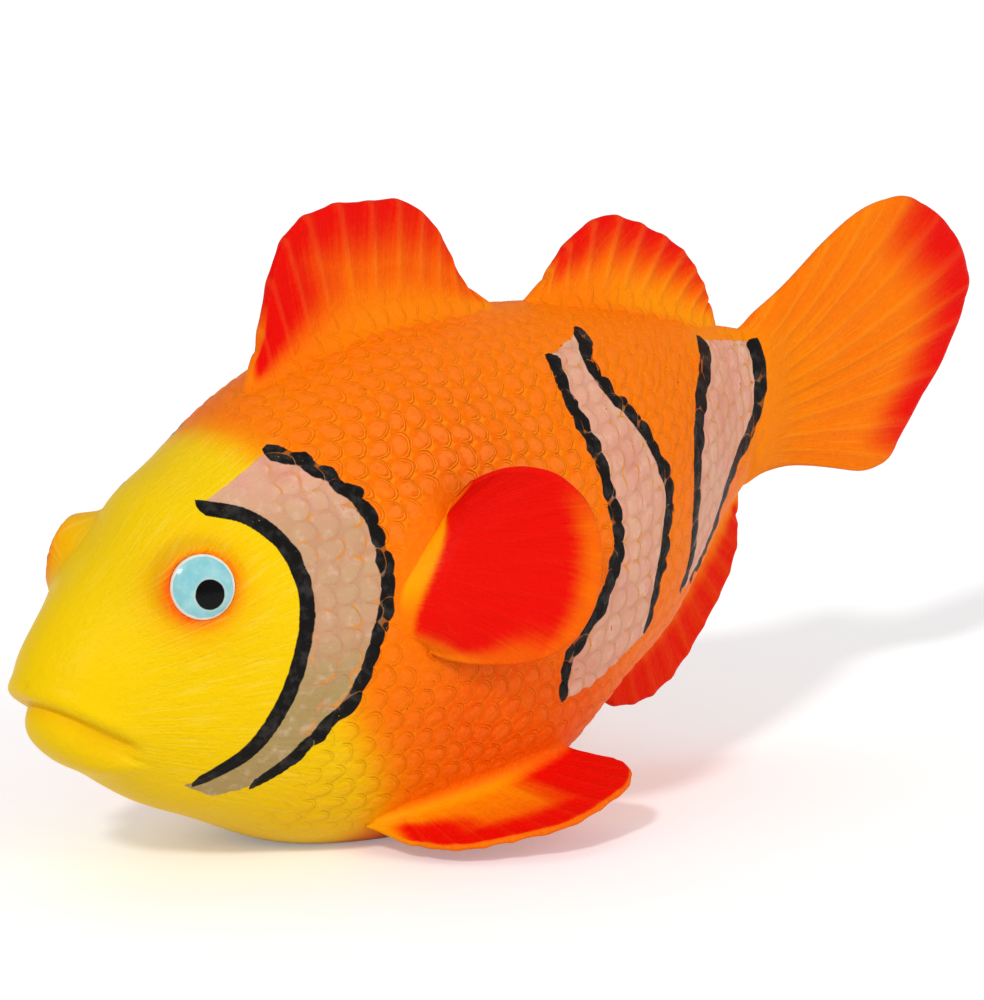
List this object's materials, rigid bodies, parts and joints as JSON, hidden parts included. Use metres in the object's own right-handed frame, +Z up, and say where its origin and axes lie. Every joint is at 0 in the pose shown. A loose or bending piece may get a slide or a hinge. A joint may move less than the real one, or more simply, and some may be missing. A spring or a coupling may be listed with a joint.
{
  "type": "rubber fish figurine",
  "caption": "Soft hollow rubber reef fish figure with a flat-resting belly, bulging set-in eyes and springy fins that flex at their roots.",
  "frame": {"origin": "on the surface that the fish rests on, under the middle of its length", "axes": "+X towards the tail, +Y towards the fish's right side, +Z up"},
  "size_m": [0.1998, 0.0858, 0.0978],
  "materials": {
    "body_rubber": "satin, sprayed from yellow at the head to orange",
    "fin_rubber": "satin, orange with sprayed red edges",
    "plug_rubber": "satin",
    "eye_plastic": "gloss, with a painted black pupil",
    "filling_fibre": "loose fibre"
  },
  "bodies": {
    "trunk": {"body_skin": "body_rubber", "fibre_filling": "filling_fibre", "belly_plug": "plug_rubber", "left_eye": "eye_plastic", "right_eye": "eye_plastic"},
    "front_dorsal": {"front_dorsal_fin": "fin_rubber"},
    "rear_dorsal": {"rear_dorsal_fin": "fin_rubber"},
    "tail": {"tail_fin": "fin_rubber"},
    "anal": {"anal_fin": "fin_rubber"},
    "left_pectoral": {"left_pectoral_fin": "fin_rubber"},
    "right_pectoral": {"right_pectoral_fin": "fin_rubber"},
    "left_pelvic": {"left_pelvic_fin": "fin_rubber"},
    "right_pelvic": {"right_pelvic_fin": "fin_rubber"}
  },
  "joints": [
    {"name": "tail_bend", "type": "hinge", "parent": "trunk", "child": "tail", "pos_m": [0.046, 0, 0.055], "axis": [0, 0, 1], "range_deg": [-30, 30], "stiffness_Nm_per_rad": 0.1},
    {"name": "front_dorsal_lean", "type": "hinge", "parent": "trunk", "child": "front_dorsal", "pos_m": [-0.0328, 0, 0.08], "axis": [0.9921, 0, 0.1256], "range_deg": [-25, 25], "stiffness_Nm_per_rad": 0.06},
    {"name": "rear_dorsal_lean", "type": "hinge", "parent": "trunk", "child": "rear_dorsal", "pos_m": [0.0198, 0, 0.0773], "axis": [0.9771, 0, -0.2128], "range_deg": [-25, 25], "stiffness_Nm_per_rad": 0.05},
    {"name": "anal_fin_lean", "type": "hinge", "parent": "trunk", "child": "anal", "pos_m": [0.0296, 0, 0.0258], "axis": [0.7798, 0, 0.626], "range_deg": [-25, 25], "stiffness_Nm_per_rad": 0.04},
    {"name": "left_pectoral_flap", "type": "hinge", "parent": "trunk", "child": "left_pectoral", "pos_m": [-0.0464, -0.0306, 0.0439], "axis": [-0.258, -0.1131, -0.9595], "range_deg": [-12, 40], "stiffness_Nm_per_rad": 0.025},
    {"name": "right_pectoral_flap", "type": "hinge", "parent": "trunk", "child": "right_pectoral", "pos_m": [-0.0464, 0.0306, 0.0439], "axis": [0.258, -0.1131, 0.9595], "range_deg": [-12, 40], "stiffness_Nm_per_rad": 0.025},
    {"name": "left_pelvic_flex", "type": "hinge", "parent": "trunk", "child": "left_pelvic", "pos_m": [-0.0295, -0.025, 0.0071], "axis": [-0.9676, 0.1557, -0.1987], "range_deg": [-4, 30], "stiffness_Nm_per_rad": 0.04},
    {"name": "right_pelvic_flex", "type": "hinge", "parent": "trunk", "child": "right_pelvic", "pos_m": [-0.0295, 0.025, 0.0071], "axis": [0.9676, 0.1557, 0.1987], "range_deg": [-4, 30], "stiffness_Nm_per_rad": 0.04}
  ]
}
